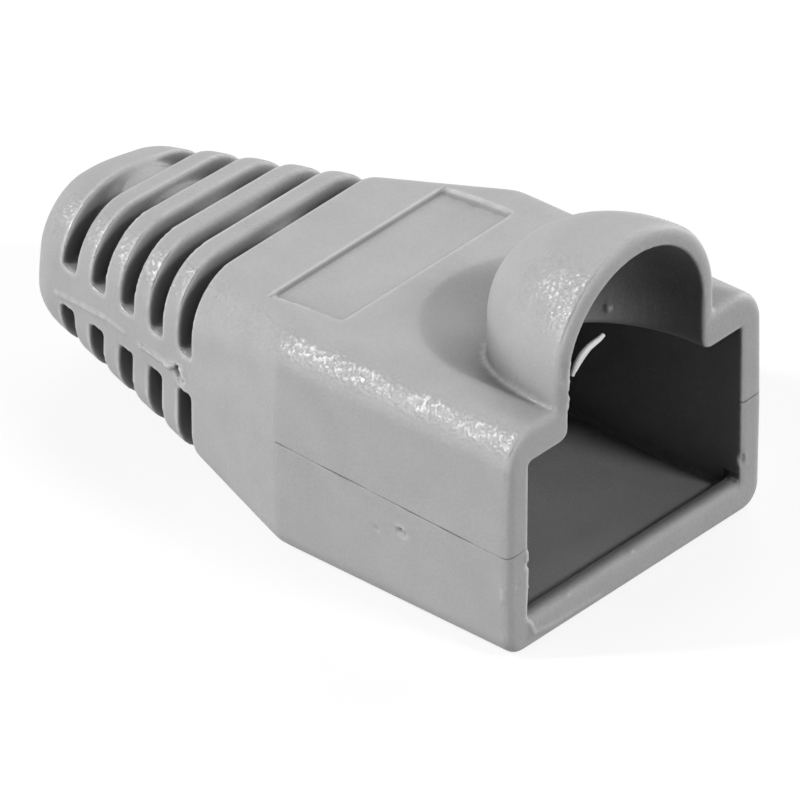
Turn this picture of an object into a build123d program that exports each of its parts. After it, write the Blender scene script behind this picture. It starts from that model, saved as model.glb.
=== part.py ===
from build123d import *
import os
from math import radians, tan

# Strain relief boot for an eight-way modular plug, moulded in one piece in soft plastic.
# Millimetres. The cable runs along X and the plug mouth faces +X. Z is up.
# The origin is on the flat underside, below the middle of the boot.
# Distances along the boot are measured backwards from the plug mouth.

# Overall form
overall_length = 25.35
box_width = 14.0
box_length = 11.0
shoulder_length = 5.3
parting_height = 4.4
draft = 1.0

# Height of the roof and of the underside at the mouth, the shoulders and the neck
roof_at_mouth = 9.45
roof_at_shoulder = 9.15
roof_at_neck = 8.43
belly_at_neck = 0.2
roof_edge_radius = 1.5
belly_edge_radius = 0.9
mouth_edge_radius = 0.3

# Neck
neck_root_width = 11.2
neck_root_roof_radius = 2.3
neck_root_belly_radius = 1.9
neck_end_width = 7.2
neck_end_roof = 7.0
neck_end_belly = 1.22
neck_end_roof_radius = 2.45
neck_end_belly_radius = 2.75
rear_edge_radius = 2.3
rear_cut = 0.85

# Flex slots across the neck, above and below the side spines
slot_count = 5
slot_pitch = 1.7
slot_width = 0.76
first_slot = 16.6
spine_height = 1.6
tube_root_radius = 3.6
tube_root_length = 3.4
tube_radius = 3.1

# Cable bore and plug socket
bore_radius = 2.2
bore_height = 4.1
socket_width = 11.7
socket_floor = 0.8
socket_ceiling = 7.99
socket_depth = 10.5
plug_stop_width = 0.6
funnel_length = 4.8
funnel_radius = 2.0
lip_height = 0.55
lip_depth = 0.7
lip_radius = 0.4

# Hood over the plug's latch
hood_radius = 4.35
hood_centre_height = 10.35
hood_length = 6.0
hood_edge_radius = 0.35
pocket_radius = 3.7
pocket_centre_height = 10.2
pocket_length = 5.2
pocket_foot_radius = 0.4

# Scoop in the roof round the hood
scoop_radius = 4.6
scoop_centre = 4.25
scoop_depth = 0.95
scoop_slope = 19.0

# Label recess in the roof
label_front = 9.92
label_rear = 13.2
label_width = 9.3
label_depth = 0.2
label_corner_radius = 0.3

# How far a cutting form runs past the surface that it opens
overrun = 2.0

mouth_x = overall_length / 2
rear_x = -overall_length / 2
shoulder_x = mouth_x - box_length
neck_x = shoulder_x - shoulder_length
neck_root_height = (belly_at_neck + roof_at_neck) / 2
neck_end_height = (neck_end_belly + neck_end_roof) / 2
box_fall = (roof_at_mouth - roof_at_shoulder) / box_length
shoulder_fall = (roof_at_shoulder - roof_at_neck) / shoulder_length


def across(x):
    """A plane square to the cable at x, with its own X across the boot and its own Y up."""
    return Plane(origin=(x, 0, 0), x_dir=(0, 1, 0), z_dir=(1, 0, 0))


def roof_height(behind_mouth):
    """The height of the roof's flat at a distance behind the mouth, as far as the neck."""
    if behind_mouth < box_length:
        return roof_at_mouth - box_fall * behind_mouth
    return roof_at_shoulder - shoulder_fall * (behind_mouth - box_length)


def plane_on_roof(front, rear):
    """A plane laid on the roof between two distances behind the mouth, centred between them."""
    run = rear - front
    fall = roof_height(front) - roof_height(rear)
    middle = (mouth_x - (front + rear) / 2, 0, (roof_height(front) + roof_height(rear)) / 2)
    return Plane(origin=middle, x_dir=(run, 0, fall), z_dir=(-fall, 0, run))


def outside_section(x, width, belly, roof, belly_radius, roof_radius, widest=parting_height):
    """The outline of the boot at x, drafted from its widest height, with four round corners."""
    half = width / 2
    top_half = half - (roof - widest) * tan(radians(draft))
    low_half = half - (widest - belly) * tan(radians(draft))
    with BuildSketch(across(x)) as section:
        with BuildLine():
            Polyline(
                (half, widest),
                (top_half, roof),
                (-top_half, roof),
                (-half, widest),
                (-low_half, belly),
                (low_half, belly),
                close=True,
            )
        make_face()
        fillet(section.vertices().group_by(Axis.Y)[-1], roof_radius)
        fillet(section.vertices().group_by(Axis.Y)[0], belly_radius)
    return section.sketch


def half_dome(length, radius, centre_height, foot_height, rim_radius=0):
    """A long half dome, cut square at the mouth, on upright walls down to foot_height."""
    with BuildSketch() as quarter:
        with BuildLine():
            back = EllipticalCenterArc((mouth_x, 0), length, radius, 90, arc_size=90)
            Polyline(back @ 1, (mouth_x, 0), back @ 0)
        make_face()
        if rim_radius:
            fillet(quarter.vertices().sort_by(Axis.Y)[-1], rim_radius)
    with BuildSketch() as plan:
        add(quarter.sketch)
        mirror(about=Plane.XZ)
    centre = Location((0, 0, centre_height))
    with BuildPart() as form:
        revolve(
            centre * quarter.sketch,
            axis=Axis((mouth_x, 0, centre_height), (1, 0, 0)),
            revolution_arc=180,
        )
        extrude(centre * plan.sketch, amount=foot_height - centre_height)
    return form.part


# The outside, as one loft from the mouth back over the shoulders and down the neck
with BuildPart() as outside:
    loft(
        [
            outside_section(
                mouth_x, box_width, 0, roof_at_mouth, belly_edge_radius, roof_edge_radius
            ),
            outside_section(
                shoulder_x, box_width, 0, roof_at_shoulder, belly_edge_radius, roof_edge_radius
            ),
            outside_section(
                neck_x,
                neck_root_width,
                belly_at_neck,
                roof_at_neck,
                neck_root_belly_radius,
                neck_root_roof_radius,
            ),
            outside_section(
                rear_x - rear_cut,
                neck_end_width,
                neck_end_belly,
                neck_end_roof,
                neck_end_belly_radius,
                neck_end_roof_radius,
                widest=neck_end_height,
            ),
        ],
        ruled=True,
    )
    fillet(outside.faces().sort_by(Axis.X)[0].edges(), rear_edge_radius)
    split(bisect_by=Plane.YZ.offset(rear_x), keep=Keep.TOP)
    fillet(outside.faces().sort_by(Axis.X)[-1].edges(), mouth_edge_radius)

# The scoop: a shallow ramp down to the hood's foot, round its back and along its sides
with BuildPart() as scoop:
    with BuildSketch(plane_on_roof(0, 2 * scoop_centre)) as scoop_plan:
        Circle(scoop_radius)
        Rectangle(
            scoop_centre + 2 * scoop_radius, 2 * scoop_radius, align=(Align.MIN, Align.CENTER)
        )
    extrude(amount=-scoop_depth, taper=90 - scoop_slope)
    extrude(scoop_plan.sketch, amount=overrun)

# The hood over the plug's latch, with a soft front edge
with BuildPart() as hood:
    add(
        half_dome(
            hood_length, hood_radius, hood_centre_height, socket_ceiling, hood_edge_radius
        )
    )

# The plug socket, with a low lip across the floor of its mouth, and above it the space
# under the hood where the plug's latch lifts, both run out through the mouth
with BuildPart() as hollow:
    with BuildSketch(Plane.XZ):
        with BuildLine():
            lip_top = Polyline(
                (mouth_x - socket_depth, socket_floor),
                (mouth_x - lip_depth, socket_floor),
                (mouth_x - lip_depth, socket_floor + lip_height),
                (mouth_x - lip_radius, socket_floor + lip_height),
            )
            lip_front = RadiusArc(
                lip_top @ 1, (mouth_x, socket_floor + lip_height - lip_radius), lip_radius
            )
            Polyline(
                lip_front @ 1,
                (mouth_x + overrun, socket_floor + lip_height - lip_radius),
                (mouth_x + overrun, socket_ceiling),
                (mouth_x - socket_depth, socket_ceiling),
                lip_top @ 0,
            )
        make_face()
    extrude(amount=socket_width / 2, both=True)
    add(half_dome(pocket_length, pocket_radius, pocket_centre_height, socket_ceiling - overrun))
    pocket_foot = hollow.edges().filter_by(lambda edge: abs(edge.center().Z - socket_ceiling) < 0.001)
    fillet(pocket_foot.filter_by(GeomType.BSPLINE), pocket_foot_radius)

# The way from the socket into the bore: a shelf that stops the plug, a funnel and the bore
with BuildPart() as cable_way:
    with BuildSketch(across(mouth_x - socket_depth)):
        with Locations((0, (socket_floor + socket_ceiling) / 2)):
            RectangleRounded(
                socket_width - 2 * plug_stop_width,
                socket_ceiling - socket_floor - 2 * plug_stop_width,
                funnel_radius,
            )
    with BuildSketch(across(mouth_x - socket_depth - funnel_length)):
        with Locations((0, bore_height)):
            RectangleRounded(2 * bore_radius, 2 * bore_radius, 0.99 * bore_radius)
    loft(ruled=True)
    with BuildSketch(across(mouth_x - socket_depth - funnel_length)):
        with Locations((0, bore_height)):
            Circle(bore_radius)
    extrude(amount=-overall_length)

# The blades that form the flex slots, above and below the spine that runs down the middle
# of each side of the neck, and kept off the tube round the cable
slot_places = [(mouth_x - first_slot - index * slot_pitch, 0) for index in range(slot_count)]
with BuildPart() as slot_blades:
    with BuildSketch(Plane.XZ):
        with Locations(*slot_places):
            Rectangle(slot_width, 2 * box_width)
        with BuildLine():
            Polyline(
                (neck_x + overrun, parting_height - spine_height / 2),
                (neck_x + overrun, parting_height + spine_height / 2),
                (neck_x, parting_height + spine_height / 2),
                (rear_x, neck_end_height + spine_height / 2),
                (rear_x, neck_end_height - spine_height / 2),
                (neck_x, parting_height - spine_height / 2),
                close=True,
            )
        make_face(mode=Mode.SUBTRACT)
    extrude(amount=box_width / 2, both=True)
    with BuildSketch(across(neck_x + slot_width)):
        with Locations((0, neck_root_height)):
            Circle(tube_root_radius)
    with BuildSketch(across(neck_x - tube_root_length)) as tube_section:
        with Locations((0, bore_height)):
            Circle(tube_radius)
    loft(ruled=True, mode=Mode.SUBTRACT)
    extrude(tube_section.sketch, amount=-overall_length, mode=Mode.SUBTRACT)

# The label recess, sunk square to the roof between its front and rear edges
with BuildPart() as label_recess:
    with BuildSketch(plane_on_roof(label_front, label_rear).offset(-label_depth)):
        RectangleRounded(label_rear - label_front, label_width, label_corner_radius)
    extrude(amount=overrun)

with BuildPart() as boot:
    add(outside.part)
    add(scoop.part, mode=Mode.SUBTRACT)
    add(hood.part)
    add(hollow.part, mode=Mode.SUBTRACT)
    add(cable_way.part, mode=Mode.SUBTRACT)
    add(slot_blades.part, mode=Mode.SUBTRACT)
    add(label_recess.part, mode=Mode.SUBTRACT)

boot.part.label = "boot"

os.makedirs("parts", exist_ok=True)
export_step(boot.part, "parts/boot.step")
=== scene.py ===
from math import cos, exp, radians, sin

import bpy
from mathutils import Matrix, Vector
from mathutils.kdtree import KDTree


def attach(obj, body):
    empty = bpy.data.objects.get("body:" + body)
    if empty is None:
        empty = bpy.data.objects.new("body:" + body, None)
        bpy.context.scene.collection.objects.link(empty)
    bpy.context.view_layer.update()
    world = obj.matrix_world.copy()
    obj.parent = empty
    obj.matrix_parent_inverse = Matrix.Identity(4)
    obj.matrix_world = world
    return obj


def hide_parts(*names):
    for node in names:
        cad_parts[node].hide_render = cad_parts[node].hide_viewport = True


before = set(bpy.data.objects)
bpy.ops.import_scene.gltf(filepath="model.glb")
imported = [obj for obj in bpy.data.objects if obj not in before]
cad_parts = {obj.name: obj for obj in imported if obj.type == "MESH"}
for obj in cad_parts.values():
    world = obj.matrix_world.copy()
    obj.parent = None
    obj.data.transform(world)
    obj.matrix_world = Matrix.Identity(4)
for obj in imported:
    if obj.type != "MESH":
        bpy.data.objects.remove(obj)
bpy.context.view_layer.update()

mm = 0.001

# Sizes of the moulding, in millimetres, as its own build has them
overall_length = 25.35
box_length = 11.0
box_half_width = 7.0
shoulder_length = 5.3
socket_width = 11.7
first_slot = 16.6
slot_pitch = 1.7
slot_count = 5
hood_length = 6.0
hood_radius = 4.35

mouth_x = overall_length / 2
rear_x = -overall_length / 2
shoulder_x = mouth_x - box_length
neck_x = shoulder_x - shoulder_length
slot_middles = [mouth_x - first_slot - slot_pitch * index for index in range(slot_count)]
label_front_x = mouth_x - 9.92
label_rear_x = mouth_x - 13.2

# The photograph's camera, a long lens far away
view_azimuth = 40.8
view_elevation = 33.4
view_roll = 0.3
view_distance = 1125.0
view_pixels_per_mm = 27.9
picture_width = 800.0
sensor_width = 36.0
nearest_seen, furthest_seen = 0.01, 10.0
seen_point = Vector((mouth_x - 10.0, 0.0, 5.2))
seen_pixel = (424.3, 358.6)

# Lamps: compass angle from +X, height, strength and spread, with the angles in degrees
lamps = (
    ("key", 227, 40, 1.5, 5),
    ("left", 252, 8, 2.5, 40),
    ("back", 118, 38, 0.85, 40),
    ("right", 80, 10, 1.65, 30),
    ("front_high", 10, 40, 1.05, 12),
    ("front_low", 10, 8, 0.9, 12),
)
room_light = 0.015

# The white floor, with one tone for the light that it throws on the boot and one in the picture
floor_radius = 0.6
floor_sides = 96
floor_roughness = 0.9
floor_thrown_tone = 0.06
floor_seen_tone = 0.22
floor_glow = 0.82

# Soft plastic
plastic_grey = 0.43
plastic_shine = 0.35
plain_roughness = 0.5
edge_roughness = 0.18
mottle_size = 1.6
mottle_tones = (0.3, 0.7, 0.96, 1.04)
speckle_size = 0.12
speckle_tones = (0.25, 0.75, 0.95, 1.05)

# Painted shade, darker in hollows, slots and corners, by how open the surface lies
hollow_reach = 8.0
hollow_openness = (0.0, 0.95)
hollow_shade = 0.29
floor_shade = 0.41
floor_slopes = (0.3, 0.8)
hollow_wall_openness = (0.75, 0.35)
hollow_wall_shade = 0.06
slot_openness = (0.12, 0.38)
slot_shade = 0.08
open_neck_shade = 0.98
corner_reach = 0.22
corner_openness = (0.6, 0.95)
corner_shade = 0.6

# Pale rims painted as highlights on sharp edges, by how thin the plastic is behind the surface
rim_reach = 0.2
rim_thinness = (0.92, 0.73)
rim_highlight = 0.3

# Shiny rounded edges: where each measure of the surface starts to count and where it is full
round_flatness = (0.94, 0.84)
round_aside = (0.15, 0.35)
round_up = (0.1, 0.3)
round_slant = (0.85, 0.94)
round_openness = (0.5, 0.75)
round_nearness = (0.88, 0.98)
half_root = 0.7071
label_margin = (0.2, 0.15)

# Grain, and pale flecks painted as glints where the plastic leans 45 degrees to the side
grain_height = 0.08
glint_size = 0.19
plain_grain = 0.1
fine_grain_size = 0.08
fine_grain_share = 0.15
fleck_slant = (0.955, 0.985)
fleck_lumps = (0.54, 0.62)
fleck_patch_size = 1.1
fleck_patches = (0.42, 0.56)
fleck_highlight = 0.34

# The parting line of the two halves of the mould
parting_at_mouth = 4.33
parting_fall = 0.027
parting_tilt = 0.029
parting_shade = 0.62
parting_groove = 0.6
parting_waver = 0.06
parting_waver_size = 1.5
parting_widths = (0.055, 0.015)
parting_break_size = 2.2
parting_breaks = (0.4, 0.6, 0.25, 1.0)

# Painted shade and painted highlight lines along the label recess's edges: axis that each lies
# across, its middle and half width
label_half_width = 4.8
label_side = 4.65
label_dark_lines = (("X", label_rear_x + 0.06, 0.08), ("Y", label_side - 0.07, 0.1))
label_pale_lines = (("X", label_rear_x - 0.08, 0.08), ("Y", label_side + 0.12, 0.07))
label_front_line = ("X", label_front_x, 0.07)
label_front_share = 0.6
label_line_shade = 0.66
label_line_highlight = 0.07
roof_heights = (8, 20)

# Painted shade on the lip across the mouth, dark at its rear edge and lighter towards the front
lip_heights = (0.95, 1.6)
lip_span = (mouth_x - 0.85, mouth_x + 1)
lip_fall = (mouth_x - 0.5, mouth_x + 0.02)
lip_shade = 0.42
lip_edge = (mouth_x - 0.63, mouth_x - 0.55)
lip_edge_shade = 0.3

# A limit below every distance that is measured without its sign
no_limit = -1

# The skin's mesh, and how often each part of it is smoothed
weld_distance = 0.001
face_size = 0.09
most_triangles = 190000
smooth_factor = 0.5
all_passes = 3
rib_passes = 75
foot_passes = 8
shoulder_passes = 20

# The ribs' front edges: a band behind each slot's middle, softest on the first ribs and high up
rib_band = (-0.95, -0.12)
rib_softness = (1.0, 1.0, 0.9, 0.25, 0.1)
rib_low = 4.9
rib_rise = 1.5
rib_least = 0.15

# The shoulders' edge, outside the middle of each face
shoulder_band = 0.4
shoulder_aside = 6.5
shoulder_middle_height = 4.6
shoulder_half_height = 4.1

# The hood's foot, round the outside of the hood
foot_run = 6.6
foot_heights = (8.2, 9.9)
foot_reach = 0.97

# The neck's twist in degrees, and how its end has swollen on one side and sunk on the other
neck_twist = -4.5
neck_end_height = 4.1
end_bulge = 0.27
bulge_aside = -0.5
bulge_width = 1.9
end_sag = 0.12
sag_aside = 2.9
sag_width = 1.3
end_start_x = -10.3
end_run = 0.9
end_low = 5.3
end_rise = 1.2

# Moulding marks: where each starts and ends, its reach and how far it stands out, or in
marks = (
    ((7.59, -6.98, 3.43), (7.72, -6.98, 3.38), 0.22, -0.13),
    ((7.5, -6.98, 3.6), (7.8, -6.98, 3.55), 0.14, 0.05),
    ((6.5, -6.98, 3.03), (6.5, -6.98, 3.03), 0.14, -0.07),
    ((-4.3, -5.47, 4.3), (-4.2, -5.47, 4.1), 0.3, -0.3),
    ((-4.85, -5.36, 4.3), (-4.55, -5.42, 4.5), 0.2, 0.16),
    ((-4.1, -5.5, 4.55), (-3.95, -5.5, 4.25), 0.16, 0.1),
    ((-6.48, -5.02, 4.29), (-4.9, -5.35, 4.3), 0.14, 0.09),
    ((-8.3, -4.65, 4.36), (-7.4, -4.84, 4.34), 0.12, 0.06),
    ((-11.33, -4.04, 3.98), (-8.52, -4.61, 4.36), 0.13, 0.08),
    ((12.67, 5.87, 2.35), (12.67, 5.87, 2.15), 0.2, -0.16),
    ((12.67, -3.7, 9.3), (12.67, -3.68, 9.5), 0.16, 0.08),
    ((12.67, -3.72, 9.7), (12.67, -3.5, 11.0), 0.24, 0.09),
    ((12.67, -3.66, 9.85), (12.67, -3.66, 9.95), 0.14, -0.06),
    ((12.67, -3.62, 10.25), (12.67, -3.6, 10.35), 0.13, 0.07),
    ((12.67, -4.0, 10.6), (12.67, -3.95, 11.1), 0.22, -0.07),
    ((12.39, -6.97, 2.95), (12.45, -6.97, 2.6), 0.12, 0.05),
    ((12.67, -6.43, 3.03), (12.67, -6.43, 3.03), 0.12, -0.05),
    ((12.67, -5.94, 3.69), (12.67, -5.92, 3.6), 0.14, -0.08),
    ((12.67, -5.93, 4.2), (12.67, -5.86, 2.8), 0.13, 0.07),
    ((12.67, -5.86, 2.7), (12.67, -5.79, 1.25), 0.13, 0.07),
    ((12.67, -5.78, 1.2), (12.67, -5.55, 0.6), 0.13, 0.07),
    ((12.67, -5.5, 0.56), (12.67, -4.6, 0.42), 0.12, 0.06),
    ((12.67, -4.5, 0.42), (12.67, -2.0, 0.4), 0.11, 0.05),
    ((9.0, 2.69, 8.84), (9.0, 2.69, 8.8), 0.2, 0.11),
    ((12.54, -0.07, 1.25), (12.54, -0.07, 1.25), 0.12, 0.05),
    ((12.59, -3.59, 1.19), (12.59, -3.59, 1.19), 0.12, 0.05),
)

# Threads of flash: each one's thickness, and its course as distance aside, height and girth
strands = (
    (
        0.24,
        (
            (-3.47, 10.5, 0.6),
            (-3.2, 11.1, 1.0),
            (-2.75, 11.42, 1.25),
            (-2.15, 11.22, 0.9),
            (-1.78, 11.42, 0.7),
        ),
    ),
    (
        0.15,
        (
            (-3.32, 10.6, 0.7),
            (-2.98, 10.98, 1.0),
            (-2.7, 11.12, 1.0),
            (-2.3, 11.36, 0.9),
            (-1.95, 11.24, 0.5),
        ),
    ),
)
strand_x = mouth_x - 0.07
strand_roundness = 3
strand_grey = 0.9
strand_roughness = 0.4


def neutral(level):
    """A grey of one level, as a colour socket takes it."""
    return (level, level, level, 1)


def view_axes():
    """The camera's right, up and backward directions, as the photograph has them."""
    azimuth, elevation = radians(view_azimuth), radians(view_elevation)
    right = Vector((cos(azimuth), sin(azimuth), 0))
    back = Vector((sin(azimuth) * cos(elevation), -cos(azimuth) * cos(elevation), sin(elevation)))
    roll = Matrix.Rotation(radians(view_roll), 3, back)
    right = roll @ right
    return right, back.cross(right), back


def make_camera():
    """The camera looks at the picture's middle from the photograph's angle."""
    right, up, back = view_axes()
    aside = (seen_pixel[0] - picture_width / 2) / view_pixels_per_mm
    above = (picture_width / 2 - seen_pixel[1]) / view_pixels_per_mm
    middle = seen_point - right * aside - up * above
    data = bpy.data.cameras.new("camera")
    data.sensor_width = sensor_width
    data.lens = sensor_width * view_pixels_per_mm * view_distance / picture_width
    data.clip_start, data.clip_end = nearest_seen, furthest_seen
    data.dof.use_dof = False
    camera = bpy.data.objects.new("camera", data)
    camera.matrix_world = Matrix.Translation((middle + back * view_distance) * mm) @ Matrix(
        (right, up, back)
    ).transposed().to_4x4()
    bpy.context.scene.collection.objects.link(camera)
    bpy.context.scene.camera = camera


def make_lamp(name, azimuth, elevation, strength, spread):
    """A distant lamp, placed by its compass angle from +X and its height, in degrees."""
    data = bpy.data.lights.new(name, "SUN")
    data.energy = strength
    data.angle = radians(spread)
    lamp = bpy.data.objects.new(name, data)
    lamp.rotation_euler = (0, radians(90 - elevation), radians(azimuth))
    bpy.context.scene.collection.objects.link(lamp)


class Tree:
    """A node tree, and the kinds of node that the looks here are made of."""

    def __init__(self, owner):
        owner.use_nodes = True
        self.nodes, self.links = owner.node_tree.nodes, owner.node_tree.links

    def feed(self, socket, value):
        """Links a value to a socket, or sets it there where it is a plain number or colour."""
        if isinstance(value, bpy.types.NodeSocket):
            self.links.new(value, socket)
        else:
            socket.default_value = value

    def reckon(self, operation, *values):
        """A math node over sockets and plain numbers."""
        node = self.nodes.new("ShaderNodeMath")
        node.operation = operation
        for socket, value in zip(node.inputs, values):
            self.feed(socket, value)
        return node.outputs["Value"]

    def product(self, result, *factors):
        """The product of sockets and plain numbers, taken in their order."""
        for factor in factors:
            result = self.reckon("MULTIPLY", result, factor)
        return result

    def ramp(self, value, low, high, bottom=0.0, top=1.0):
        """A value between low and high, spread between bottom and top and held there."""
        node = self.nodes.new("ShaderNodeMapRange")
        names = ("Value", "From Min", "From Max", "To Min", "To Max")
        for name, number in zip(names, (value, low, high, bottom, top)):
            self.feed(node.inputs[name], number)
        return node.outputs["Result"]

    def blend(self, factor, first, second, kind="FLOAT"):
        """The first value where the factor is 0, the second where it is 1."""
        node = self.nodes.new("ShaderNodeMix")
        node.data_type = kind
        for name, value in (("Factor", factor), ("A", first), ("B", second)):
            self.feed(node.inputs[name], value)
        return node.outputs["Result"]

    def split(self, vector):
        """The node that holds a vector's X, Y and Z."""
        node = self.nodes.new("ShaderNodeSeparateXYZ")
        self.links.new(vector, node.inputs["Vector"])
        return node.outputs

    def noise(self, place, lump_size, detail=2.0):
        """Even noise whose lumps are about as wide as lump_size, in millimetres."""
        node = self.nodes.new("ShaderNodeTexNoise")
        node.inputs["Scale"].default_value = 1 / (lump_size * mm)
        node.inputs["Detail"].default_value = detail
        self.links.new(place.outputs["Object"], node.inputs["Vector"])
        return node.outputs["Fac"]

    def closeness(self, reach, inside=False):
        """How open the surface lies: 1 in the open, falling towards 0 in a hollow."""
        node = self.nodes.new("ShaderNodeAmbientOcclusion")
        node.samples = 4
        node.only_local = True
        node.inside = inside
        node.inputs["Distance"].default_value = reach * mm
        return node.outputs["AO"]

    def between(self, value, low, high):
        """1 where a value lies between low and high, in millimetres, and 0 elsewhere."""
        above = self.reckon("GREATER_THAN", value, low * mm)
        return self.product(above, self.reckon("LESS_THAN", value, high * mm))

    def distance(self, value, middle):
        """How far a value lies from middle, either way, in metres."""
        return self.reckon("ABSOLUTE", self.reckon("SUBTRACT", value, middle))

    def line_at(self, value, middle, width):
        """A soft line, 1 where a value is at middle and 0 beyond its width, in millimetres."""
        return self.ramp(self.distance(value, middle * mm), width * mm, width * mm / 3)

    def seen_white(self):
        """1 where a ray comes from the camera or off gloss or glass, to show a white surround."""
        path = self.nodes.new("ShaderNodeLightPath")
        seen = path.outputs["Is Camera Ray"]
        for ray in ("Is Glossy Ray", "Is Transmission Ray"):
            seen = self.reckon("MAXIMUM", seen, path.outputs[ray])
        return seen


def make_light():
    """A small key and a broad lamp on the left, broad ones behind and right, two at the mouth."""
    for lamp in lamps:
        make_lamp(*lamp)
    world = bpy.data.worlds.new("surround")
    tree = Tree(world)
    background = tree.nodes["Background"]
    strength = tree.ramp(tree.seen_white(), 0.0, 1.0, room_light, 1.0)
    tree.feed(background.inputs["Strength"], strength)
    background.inputs["Color"].default_value = neutral(1)
    bpy.context.scene.world = world
    bpy.context.scene.view_settings.view_transform = "Standard"


def make_floor():
    """A white floor that holds the boot's shadow."""
    bpy.ops.object.select_all(action="DESELECT")
    bpy.ops.mesh.primitive_circle_add(
        vertices=floor_sides, radius=floor_radius, fill_type="NGON"
    )
    floor = bpy.context.object
    floor.name = "floor"
    material = bpy.data.materials.new("floor_white")
    tree = Tree(material)
    shader = tree.nodes["Principled BSDF"]
    shader.inputs["Roughness"].default_value = floor_roughness
    shader.inputs["Specular IOR Level"].default_value = 0.0
    seen = tree.seen_white()
    tone = tree.blend(seen, neutral(floor_thrown_tone), neutral(floor_seen_tone), "RGBA")
    tree.feed(shader.inputs["Base Color"], tone)
    tree.feed(shader.inputs["Emission Strength"], seen)
    shader.inputs["Emission Color"].default_value = neutral(floor_glow)
    floor.data.materials.append(material)


def flash_plastic():
    """The boot's plastic in a thin thread, paler than the boot."""
    material = bpy.data.materials.new("flash_plastic")
    shader = Tree(material).nodes["Principled BSDF"]
    shader.inputs["Base Color"].default_value = neutral(strand_grey)
    shader.inputs["Roughness"].default_value = strand_roughness
    return material


def parting_line(tree, place, at):
    """The hairline that the two halves of the mould leave round the box, broken in places."""
    level = tree.reckon("MULTIPLY_ADD", at["X"], parting_fall, at["Z"])
    level = tree.reckon("MULTIPLY_ADD", at["Y"], -parting_tilt, level)
    waver = tree.noise(place, parting_waver_size)
    level = tree.reckon("MULTIPLY_ADD", waver, parting_waver * mm, level)
    near_side = parting_at_mouth + parting_fall * mouth_x + parting_tilt * box_half_width
    away = tree.distance(level, (near_side + parting_waver / 2) * mm)
    line = tree.ramp(away, *(width * mm for width in parting_widths))
    line = tree.product(line, tree.ramp(tree.noise(place, parting_break_size), *parting_breaks))
    aside = tree.reckon("ABSOLUTE", at["Y"])
    outside = tree.reckon("GREATER_THAN", aside, socket_width / 2 * mm)
    on_box = tree.reckon("GREATER_THAN", at["X"], shoulder_x * mm)
    return tree.product(line, tree.product(outside, on_box))


def label_line(tree, at, axis, middle, width):
    """A line along one edge of the label recess, from corner to corner."""
    if axis == "X":
        span = tree.between(tree.reckon("ABSOLUTE", at["Y"]), no_limit, label_half_width)
    else:
        span = tree.between(at["X"], label_rear_x, label_front_x)
    span = tree.product(span, tree.between(at["Z"], *roof_heights))
    return tree.product(tree.line_at(at[axis], middle, width), span)


def label_edges(tree, at):
    """The lines along the label recess's edges: the dark ones as painted shade, the pale as
    painted highlight.
    """
    dark = [label_line(tree, at, *line) for line in label_dark_lines]
    pale = [label_line(tree, at, *line) for line in label_pale_lines]
    front = label_line(tree, at, *label_front_line)
    shade = tree.ramp(tree.reckon("MAXIMUM", *dark), 0.0, 1.0, 1.0, label_line_shade)
    highlight = tree.reckon(
        "MULTIPLY_ADD", front, label_front_share, tree.reckon("MAXIMUM", *pale)
    )
    return shade, tree.product(highlight, label_line_highlight)


def lip_tone(tree, at):
    """The painted shade on the mouth's lip, and 1 elsewhere."""
    aside = tree.reckon("ABSOLUTE", at["Y"])
    on_lip = tree.product(
        tree.between(aside, no_limit, socket_width / 2),
        tree.between(at["Z"], *lip_heights),
        tree.between(at["X"], *lip_span),
    )
    fall = tree.ramp(at["X"], *(x * mm for x in lip_fall), lip_shade, 1.0)
    edge = tree.ramp(at["X"], *(x * mm for x in lip_edge), lip_edge_shade, 1.0)
    return tree.blend(on_lip, 1.0, tree.product(fall, edge))


def off_label(tree, at):
    """0 on the label recess and its edges, and 1 elsewhere."""
    along_margin, aside_margin = label_margin
    aside = tree.reckon("ABSOLUTE", at["Y"])
    label = tree.product(
        tree.between(aside, no_limit, label_half_width + aside_margin),
        tree.between(at["X"], label_rear_x - along_margin, label_front_x + along_margin),
        tree.between(at["Z"], *roof_heights),
    )
    return tree.reckon("SUBTRACT", 1, label)


def hollow_tones(tree, at, upward, aside_lean, openness):
    """The painted shades of the socket and of the slots, and one more painted shade on the
    socket's side walls.
    """
    walled = tree.product(tree.ramp(openness, *hollow_wall_openness), aside_lean)
    walled = tree.ramp(walled, 0.0, 1.0, 1.0, hollow_wall_shade)
    in_socket = tree.blend(
        tree.ramp(upward, *floor_slopes),
        tree.ramp(openness, *hollow_openness, hollow_shade, 1.0),
        tree.ramp(openness, *hollow_openness, floor_shade, 1.0),
    )
    on_neck = tree.reckon("LESS_THAN", at["X"], neck_x * mm)
    in_slot = tree.ramp(openness, *slot_openness, slot_shade, open_neck_shade)
    return tree.blend(on_neck, in_socket, in_slot), walled


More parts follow.
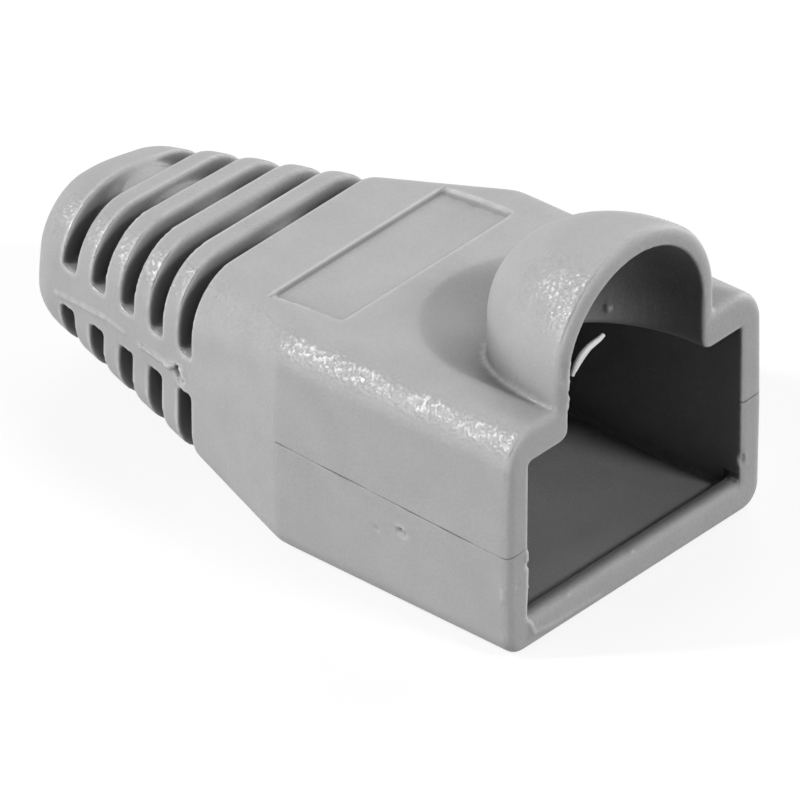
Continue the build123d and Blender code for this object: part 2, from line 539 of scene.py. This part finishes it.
def plastic():
    """The boot's grey plastic: fine grain and shiny rounded edges, with painted shade in its
    hollows and painted highlights on its rims, flecks and label lines.
    """
    material = bpy.data.materials.new("boot_plastic")
    tree = Tree(material)
    shader = tree.nodes["Principled BSDF"]
    shader.inputs["Specular IOR Level"].default_value = plastic_shine
    place = tree.nodes.new("ShaderNodeTexCoord")
    at = tree.split(place.outputs["Object"])
    facing = tree.split(place.outputs["Normal"])
    upward = facing["Z"]
    leans = [tree.reckon("ABSOLUTE", facing[axis]) for axis in "XYZ"]
    flatness = tree.reckon("MAXIMUM", tree.reckon("MAXIMUM", leans[0], leans[1]), leans[2])
    slant = tree.product(tree.reckon("ADD", leans[1], upward), half_root)
    openness = tree.closeness(hollow_reach)
    nearness = tree.closeness(corner_reach)

    rounded = tree.product(
        tree.ramp(flatness, *round_flatness),
        tree.ramp(leans[1], *round_aside),
        tree.ramp(upward, *round_up),
        tree.ramp(slant, *round_slant),
        off_label(tree, at),
        tree.ramp(openness, *round_openness),
        tree.ramp(nearness, *round_nearness),
    )
    roughness = tree.ramp(rounded, 0.0, 1.0, plain_roughness, edge_roughness)
    tree.feed(shader.inputs["Roughness"], roughness)

    lumps = tree.noise(place, glint_size, detail=1.0)
    parting = parting_line(tree, place, at)
    label_shade, label_highlight = label_edges(tree, at)
    # Painted shade: darker in hollows, slots, on the socket's walls, in corners and along the
    # label's dark lines; mottle, speckle and the parting line are the plastic's own tone
    grey = tree.product(
        tree.ramp(tree.noise(place, mottle_size), *mottle_tones),
        tree.ramp(tree.noise(place, speckle_size), *speckle_tones),
        *hollow_tones(tree, at, upward, leans[1], openness),
        tree.ramp(nearness, *corner_openness, corner_shade, 1.0),
        tree.ramp(parting, 0.0, 1.0, 1.0, parting_shade),
        plastic_grey,
        label_shade,
    )
    # Painted highlights: pale rims on sharp edges, and pale flecks painted as glints on the
    # rounded edges
    rim = tree.ramp(tree.closeness(rim_reach, inside=True), *rim_thinness, 0.0, rim_highlight)
    fleck = tree.product(
        tree.ramp(lumps, *fleck_lumps),
        tree.ramp(slant, *fleck_slant),
        tree.ramp(tree.noise(place, fleck_patch_size), *fleck_patches),
        rounded,
        fleck_highlight,
    )
    # The painted highlights of the rims, flecks and label lines are added to the colour
    for highlight in (rim, fleck, label_highlight):
        grey = tree.reckon("ADD", grey, highlight)
    # The lip's painted shade darkens the whole colour there
    tree.feed(shader.inputs["Base Color"], tree.product(grey, lip_tone(tree, at)))

    lumps = tree.product(lumps, tree.ramp(rounded, 0.0, 1.0, plain_grain, 1.0))
    fine_grain = tree.noise(place, fine_grain_size)
    height = tree.reckon("MULTIPLY_ADD", fine_grain, fine_grain_share, lumps)
    height = tree.reckon("MULTIPLY_ADD", parting, -parting_groove, height)
    bump = tree.nodes.new("ShaderNodeBump")
    bump.inputs["Strength"].default_value = 1.0
    bump.inputs["Distance"].default_value = grain_height * mm
    tree.feed(bump.inputs["Height"], height)
    tree.feed(shader.inputs["Normal"], bump.outputs["Normal"])
    return material


def settle(place):
    """A point of the neck, moved as the soft neck has twisted and settled at its end."""
    along = (neck_x - place.x / mm) / (neck_x - rear_x)
    if along <= 0:
        return place
    lift = Matrix.Translation((0, 0, neck_end_height * mm))
    place = lift @ Matrix.Rotation(radians(neck_twist) * along, 4, "X") @ lift.inverted() @ place
    x, y, z = place / mm
    rearward = min(max((end_start_x - x) / end_run, 0), 1)
    upward = min(max((z - end_low) / end_rise, 0), 1)
    bulge = end_bulge * exp(-(((y - bulge_aside) / bulge_width) ** 2))
    sag = end_sag * exp(-(((y - sag_aside) / sag_width) ** 2))
    return place + Vector((0, 0, (bulge - sag) * (rearward * upward) * mm))


def foot_weight(x, y, z):
    """1 round the outside of the hood's foot."""
    away = Vector(((x - mouth_x) / hood_length, y / hood_radius)).length
    in_band = x > mouth_x - foot_run and foot_heights[0] < z < foot_heights[1]
    return 1.0 if in_band and away > foot_reach else 0.0


def rib_weight(x, y, z):
    """How soft a rib's front edge is: the first ribs are the softest, and more so higher up."""
    for slot, softness in zip(slot_middles, rib_softness):
        if rib_band[0] < x - slot < rib_band[1]:
            return softness * min(max((z - rib_low) / rib_rise, rib_least), 1)
    return 0.0


def shoulder_weight(x, y, z):
    """1 along the edge where the box meets the shoulders."""
    beyond_side = abs(y) - shoulder_aside
    beyond_roof = abs(z - shoulder_middle_height) - shoulder_half_height
    at_edge = abs(x - shoulder_x) < shoulder_band
    return 1.0 if at_edge and max(beyond_side, beyond_roof) > 0 else 0.0


# What is softened further than the rest, in this order: its weights and number of passes
softened = (
    ("hood_foot", foot_weight, foot_passes),
    ("ribs", rib_weight, rib_passes),
    ("shoulders", shoulder_weight, shoulder_passes),
)


def make_group(skin, name, weigh):
    """A vertex group whose weights depend on where each vertex lies, in millimetres."""
    group = skin.vertex_groups.new(name=name)
    for vertex in skin.data.vertices:
        weight = weigh(*(part / mm for part in vertex.co))
        if weight:
            group.add([vertex.index], weight, "REPLACE")


def soften(skin, name, passes):
    """Rounds the skin's edges a little, all over or only in one of its vertex groups."""
    smooth = skin.modifiers.new("soft_edges", "SMOOTH")
    smooth.factor = smooth_factor
    smooth.iterations = passes
    smooth.vertex_group = name
    bpy.ops.object.modifier_apply(modifier=smooth.name)


def mark(skin):
    """Small dents, nibs and flash ridges that the moulding left, each along a short line."""
    vertices = skin.data.vertices
    tree = KDTree(len(vertices))
    for vertex in vertices:
        tree.insert(vertex.co, vertex.index)
    tree.balance()
    for start, end, reach, push in marks:
        a, b = Vector(start) * mm, Vector(end) * mm
        span = (b - a).length
        for index in {found[1] for found in tree.find_range((a + b) / 2, span / 2 + reach * mm)}:
            vertex = vertices[index]
            along = min(max((vertex.co - a).dot(b - a) / span**2, 0), 1) if span else 0
            away = (vertex.co - a - (b - a) * along).length / (reach * mm)
            if away < 1:
                vertex.co += vertex.normal * push * mm * (1 - away**2) ** 2


def copy_of_solid(material):
    """A copy of the boot's solid in one material, selected, with its faces joined up."""
    bpy.ops.object.select_all(action="DESELECT")
    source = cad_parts["boot"]
    skin = source.copy()
    skin.data = source.data.copy()
    skin.name = skin.data.name = "boot_skin"
    skin.parent = None
    for key in list(skin.keys()):
        del skin[key]
    bpy.context.scene.collection.objects.link(skin)
    skin.data.materials.clear()
    skin.data.materials.append(material)
    bpy.context.view_layer.objects.active = skin
    skin.select_set(True)
    bpy.ops.object.mode_set(mode="EDIT")
    bpy.ops.mesh.select_all(action="SELECT")
    bpy.ops.mesh.customdata_custom_splitnormals_clear()
    bpy.ops.mesh.remove_doubles(threshold=weld_distance * mm)
    bpy.ops.object.mode_set(mode="OBJECT")
    return skin


def make_skin(material):
    """The boot's moulded skin: the solid's own shape, with every edge softened."""
    skin = copy_of_solid(material)
    remesh = skin.modifiers.new("even_faces", "REMESH")
    remesh.mode = "VOXEL"
    remesh.voxel_size = face_size * mm
    bpy.ops.object.modifier_apply(modifier=remesh.name)
    for vertex in skin.data.vertices:
        vertex.co = settle(vertex.co)
    for name, weigh, _ in softened:
        make_group(skin, name, weigh)
    soften(skin, "", all_passes)
    for name, _, passes in softened:
        soften(skin, name, passes)
    skin.vertex_groups.clear()
    mark(skin)
    thin = skin.modifiers.new("fewer_faces", "DECIMATE")
    thin.ratio = most_triangles / (2 * len(skin.data.polygons))
    bpy.ops.object.modifier_apply(modifier=thin.name)
    bpy.ops.object.shade_smooth()
    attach(skin, "root")
    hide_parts("boot")


def make_strand(name, thickness, course, material):
    """A thin curled thread of flash that hangs on the hood's inner edge."""
    bpy.ops.object.select_all(action="DESELECT")
    bpy.ops.curve.primitive_nurbs_path_add()
    strand = bpy.context.object
    strand.name = name
    spline = strand.data.splines[0]
    spline.use_endpoint_u = True
    for point, (aside, height, girth) in zip(spline.points, course):
        point.co = (strand_x * mm, aside * mm, height * mm, 1)
        point.radius = girth
    strand.data.bevel_depth = thickness / 2 * mm
    strand.data.bevel_resolution = strand_roundness
    strand.data.use_fill_caps = True
    bpy.ops.object.convert(target="MESH")
    bpy.ops.object.shade_smooth()
    strand.data.materials.clear()
    strand.data.materials.append(material)
    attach(strand, "root")


make_camera()
make_light()
make_floor()
boot_plastic = plastic()
make_skin(boot_plastic)
flash = flash_plastic()
for number, (thickness, course) in enumerate(strands, 1):
    make_strand(f"flash_strand_{number}", thickness, course, flash)
